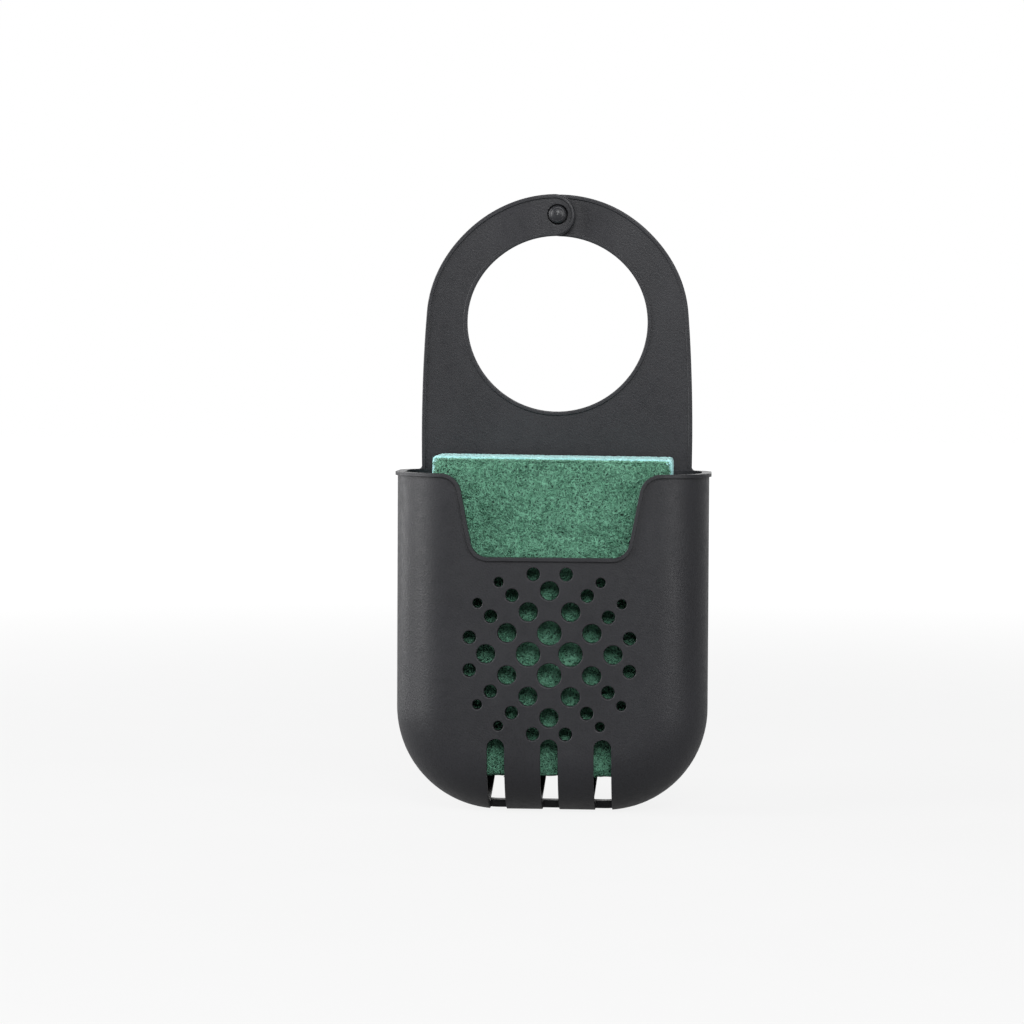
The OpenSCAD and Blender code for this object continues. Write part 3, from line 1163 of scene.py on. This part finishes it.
def pale_floor_material():
    """Floor that looks white and takes a shadow, but throws up little light.

    The share of plain white in it grows with the distance from the middle."""
    material = bpy.data.materials.new("pale_floor")
    tree = clear_nodes(material)
    place = object_place(tree)
    grit = grey_noise(tree, place, 30.0)
    pale = blend_colours(tree, grit, (0.25,) * 3, (0.28,) * 3)
    lit = add_node(tree, "BsdfDiffuse", {"Color": pale}).outputs[0]
    white = add_node(tree, "Emission", {"Strength": 1.08}).outputs[0]
    away = add_node(
        tree, "VectorMath", {0: place}, operation="LENGTH"
    ).outputs["Value"]
    straight = span(tree, away, 0.25, 1.2, 0.8, 1.0, smooth=True)
    mirrored = span(tree, away, 0.6, 2.5, 0.24, 1.0, smooth=True)
    glossy = add_node(tree, "LightPath").outputs["Is Glossy Ray"]
    seen = calculate(
        tree, "MAXIMUM", times(tree, background_ray(tree), straight),
        times(tree, glossy, mirrored),
    )
    mixed = add_node(tree, "MixShader", {0: seen, 1: lit, 2: white}).outputs[0]
    add_node(tree, "OutputMaterial", {"Surface": mixed})
    return material


def studio_world(fill):
    """White background; reflections see it behind and a dark studio in front."""
    world = bpy.data.worlds.new("studio")
    tree = clear_nodes(world)
    glossy = add_node(tree, "LightPath").outputs["Is Glossy Ray"]
    direction = add_node(tree, "TexCoord").outputs["Generated"]
    depth = add_node(tree, "SeparateXYZ", {0: direction}).outputs["Y"]
    mirrored = span(tree, depth, 0.35, 0.95, 0.1, 1.0, smooth=True)
    others = calculate(tree, "SUBTRACT", 1.0, glossy)
    strength = calculate(
        tree, "ADD", times(tree, glossy, mirrored),
        times(tree, others, fill),
    )
    strength = calculate(tree, "MAXIMUM", strength, background_ray(tree))
    light = add_node(tree, "Background", {"Color": (1, 1, 1, 1), "Strength": strength})
    add_node(tree, "OutputWorld", {"Surface": light.outputs[0]})
    return world


def add_lamp(name, power, place, size):
    """Soft lamp that points at the holder and doesn't show in the picture."""
    aim = Vector((0, -0.01, -0.06))
    data = bpy.data.lights.new(name, "AREA")
    data.shape, data.size, data.size_y = "RECTANGLE", *size
    data.energy = power
    lamp = bpy.data.objects.new(name, data)
    bpy.context.scene.collection.objects.link(lamp)
    lamp.location = place
    lamp.rotation_euler = (aim - Vector(place)).to_track_quat("-Z", "Y").to_euler()
    lamp.visible_camera = False


# ---------------------------------------------------------------- operators


class HOLDER_OT_moulding(bpy.types.Operator):
    """Gives the moulded pocket and the press stud their plastic"""

    bl_idname = "holder.moulding"
    bl_label = "Pocket and stud plastic"

    def execute(self, context):
        look = context.scene.holder_moulding
        moulded_grain_group()
        soft_edge_group()
        colour, stud_colour = tuple(look.colour), tuple(look.stud_colour)
        plastic = moulding_material(
            "holder_moulding", colour, look.roughness, look, 1.0, look.edge_round
        )
        moulding_material("holder_band", colour, look.roughness, look, 1.0, 0)
        stud = moulding_material(
            "press_stud_plastic", stud_colour, look.roughness - 0.12, look, 0.6,
            look.edge_round,
        )
        for node, material in (("pocket_shell", plastic), ("press_stud", stud)):
            give_material(frame["nodes"][node].data, material)
        return {"FINISHED"}


class HOLDER_OT_back_plate(bpy.types.Operator):
    """Builds the back plate with its raised edge and the lower half of the ring"""

    bl_idname = "holder.back_plate"
    bl_label = "Back plate"

    def execute(self, context):
        band = context.scene.holder_band
        plastic = bpy.data.materials["holder_band"]
        piece = new_piece("back_plate_skin", *plate_mesh(band), plastic)
        mark_rub_and_highlight(piece.data, band.seam_z)
        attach(piece, "holder")
        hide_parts("back_plate")
        return {"FINISHED"}


class HOLDER_OT_straps(bpy.types.Operator):
    """Builds the two straps as one skin each across the line where they flex"""

    bl_idname = "holder.straps"
    bl_label = "Straps"

    def execute(self, context):
        band = context.scene.holder_band
        plastic = bpy.data.materials["holder_band"]
        right = new_piece("right_strap_skin", *strap_mesh(band, LAP_SHIFT), plastic)
        points, faces = strap_mesh(band, -LAP_SHIFT)
        left = new_piece(
            "left_strap_skin", [(-x, y, z) for x, y, z in points], faces, plastic
        )
        cut_snap_hole(left, band)
        for piece, body, node in (
            (left, "left_strap", "left_arm"),
            (right, "right_strap", "right_arm"),
        ):
            mark_rub_and_highlight(piece.data, band.seam_z)
            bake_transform(piece)
            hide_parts(node)
        return {"FINISHED"}


class HOLDER_OT_foam(bpy.types.Operator):
    """Builds the foam block of the sponge with its pores"""

    bl_idname = "holder.foam"
    bl_label = "Foam"

    def execute(self, context):
        look = context.scene.holder_foam
        low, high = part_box("sponge_foam")
        voxel = FOAM_VOXEL
        piece = even_copy("foam_block", "sponge_foam", voxel, foam_material(look))
        square_corners(piece.data, low, high, look.corner_r, (9, 2.8))
        round_edges(piece.data, low, high, reach=0.0012, share=0.22)
        sculpt_foam(piece.data, look.pore, look.pore_depth)
        lean(piece.data, low, high, look.lean)
        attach(piece, "sponge")
        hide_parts("sponge_foam")
        return {"FINISHED"}


class HOLDER_OT_scourer(bpy.types.Operator):
    """Builds the scouring pad: a bonded web with curled fibres on top"""

    bl_idname = "holder.scourer"
    bl_label = "Scouring pad"

    def execute(self, context):
        look, block = context.scene.holder_scourer, context.scene.holder_foam
        fibre_web_group()
        low, high = (np.array(v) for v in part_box("scouring_pad"))
        web = even_copy(
            "scouring_web", "scouring_pad", WEB_VOXEL, scourer_web_material(look)
        )
        square_corners(web.data, low, high, block.corner_r, (5, 2.8))
        round_edges(web.data, low, high, reach=0.0015, share=0.3)
        sculpt_web(web.data, WEB_RELIEF)
        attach(web, "sponge")
        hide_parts("scouring_pad")

        rng = np.random.default_rng(SEED)
        fibre = scourer_fibre_material(look)
        stray = np.array((0.0007, 0.0007, 0.0003))
        limits = (low - stray, high + stray)
        x, z = (
            rng.uniform(low[i] + FIBRE_INSET, high[i] - FIBRE_INSET, look.face_fibres)
            for i in (0, 2)
        )
        dx = np.maximum(0, np.abs(x) - (high[0] - PAD_FOOT_R))
        dz = np.maximum(0, low[2] + PAD_FOOT_R - z)
        kept = np.hypot(dx, dz) < PAD_FOOT_R - FIBRE_INSET
        x, z = x[kept], z[kept]
        face = curled_fibres(
            "scouring_face_fibres", np.stack([x, np.full(len(x), low[1]), z], 1),
            same_frames(len(x), (1, 0, 0), (0, 0, 1), (0, -1, 0)),
            limits, look.fibre_r, rng, fibre,
        )

        # Share of the fibres on each cut side, the side's start (x, z) and run,
        # and the directions along it
        straight = high[2] - low[2] - PAD_FOOT_R
        inside_y = (low[1] + 0.0004, high[1] - 0.0008)
        sides = (
            (0.34, (low[0], low[2] + PAD_FOOT_R), (0, straight),
             ((0, 1, 0), (0, 0, 1), (-1, 0, 0))),
            (0.34, (high[0], low[2] + PAD_FOOT_R), (0, straight),
             ((0, 1, 0), (0, 0, 1), (1, 0, 0))),
            (0.32, (low[0], high[2]), (high[0] - low[0], 0),
             ((1, 0, 0), (0, 1, 0), (0, 0, 1))),
        )
        edge_starts, edge_frames = [], []
        for share, start, run, axes in sides:
            number = int(look.edge_fibres * share)
            for t in rng.uniform(0.01, 0.99, number):
                y = rng.uniform(*inside_y)
                edge_starts.append((start[0] + t * run[0], y, start[1] + t * run[1]))
            edge_frames.append(same_frames(number, *axes))
        edges = curled_fibres(
            "scouring_edge_fibres", np.array(edge_starts), np.concatenate(edge_frames),
            limits, look.fibre_r, rng, fibre,
        )
        for piece in (web, face, edges):
            lean(piece.data, low, high, block.lean)
        for piece in (face, edges):
            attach(piece, "sponge")
        return {"FINISHED"}


class HOLDER_OT_stage(bpy.types.Operator):
    """Sets the floor, the white background, the lamps and the camera"""

    bl_idname = "holder.stage"
    bl_label = "Stage"

    def execute(self, context):
        scene, look = context.scene, context.scene.holder_stage
        floor_z, floor_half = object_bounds()[0].z / MM, 4000
        spans = (-floor_half, floor_half)
        floor = new_piece(
            "floor", [(x, y, floor_z) for y in spans for x in spans],
            [(0, 1, 3, 2)], pale_floor_material(),
        )
        floor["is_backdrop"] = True
        scene.world = studio_world(look.fill)
        for lamp in (
            ("left_lamp", look.key, (-0.95, -0.35, 0.22), (0.55, 0.95)),
            ("left_edge_lamp", look.edge, (-0.8, 0.35, 0.1), (0.3, 0.8)),
            ("right_lamp", look.side, (0.77, -0.64, 0.15), (0.34, 0.9)),
            ("front_lamp", look.front, (0.12, -0.95, 0.52), (0.6, 0.4)),
            ("back_lamp", look.back, (0.2, 0.95, 0.55), (0.8, 0.6)),
        ):
            add_lamp(*lamp)

        data = bpy.data.cameras.new("camera")
        data.sensor_width, data.lens = 36.0, look.lens
        data.clip_start, data.clip_end = 0.05, 50
        camera = bpy.data.objects.new("camera", data)
        scene.collection.objects.link(camera)
        camera.matrix_world = (
            Matrix.Translation(Vector(look.place))
            @ Matrix.Rotation(look.yaw, 4, "Z")
            @ Matrix.Rotation(math.pi / 2 - look.pitch, 4, "X")
            @ Matrix.Rotation(look.roll, 4, "Z")
        )
        scene.camera = camera
        scene.view_settings.view_transform = "Standard"
        return {"FINISHED"}


class HOLDER_PT_looks(bpy.types.Panel):
    """Lists the steps that dress the sponge holder"""

    bl_label = "Sponge holder"
    bl_idname = "HOLDER_PT_looks"
    bl_space_type = "VIEW_3D"
    bl_region_type = "UI"
    bl_category = "Sponge holder"

    def draw(self, context):
        for operator in OPERATORS:
            self.layout.operator(operator.bl_idname)


SETTINGS = (
    ("holder_moulding", HolderMoulding),
    ("holder_band", HolderBand),
    ("holder_scourer", HolderScourer),
    ("holder_foam", HolderFoam),
    ("holder_stage", HolderStage),
)
OPERATORS = (
    HOLDER_OT_stage,
    HOLDER_OT_moulding,
    HOLDER_OT_back_plate,
    HOLDER_OT_straps,
    HOLDER_OT_foam,
    HOLDER_OT_scourer,
)


def register():
    """Registers the settings, the operators and the panel."""
    for name, group in SETTINGS:
        bpy.utils.register_class(group)
        setattr(bpy.types.Scene, name, PointerProperty(type=group))
    for operator in OPERATORS:
        bpy.utils.register_class(operator)
    bpy.utils.register_class(HOLDER_PT_looks)


def unregister():
    """Takes out what register put in, in the opposite order."""
    bpy.utils.unregister_class(HOLDER_PT_looks)
    for operator in reversed(OPERATORS):
        bpy.utils.unregister_class(operator)
    for name, group in reversed(SETTINGS):
        delattr(bpy.types.Scene, name)
        bpy.utils.unregister_class(group)


def main():
    """Builds everything in order."""
    register()
    bpy.ops.holder.stage()
    bpy.ops.holder.moulding()
    bpy.ops.holder.back_plate()
    bpy.ops.holder.straps()
    bpy.ops.holder.foam()
    bpy.ops.holder.scourer()


if __name__ == "__main__":
    main()
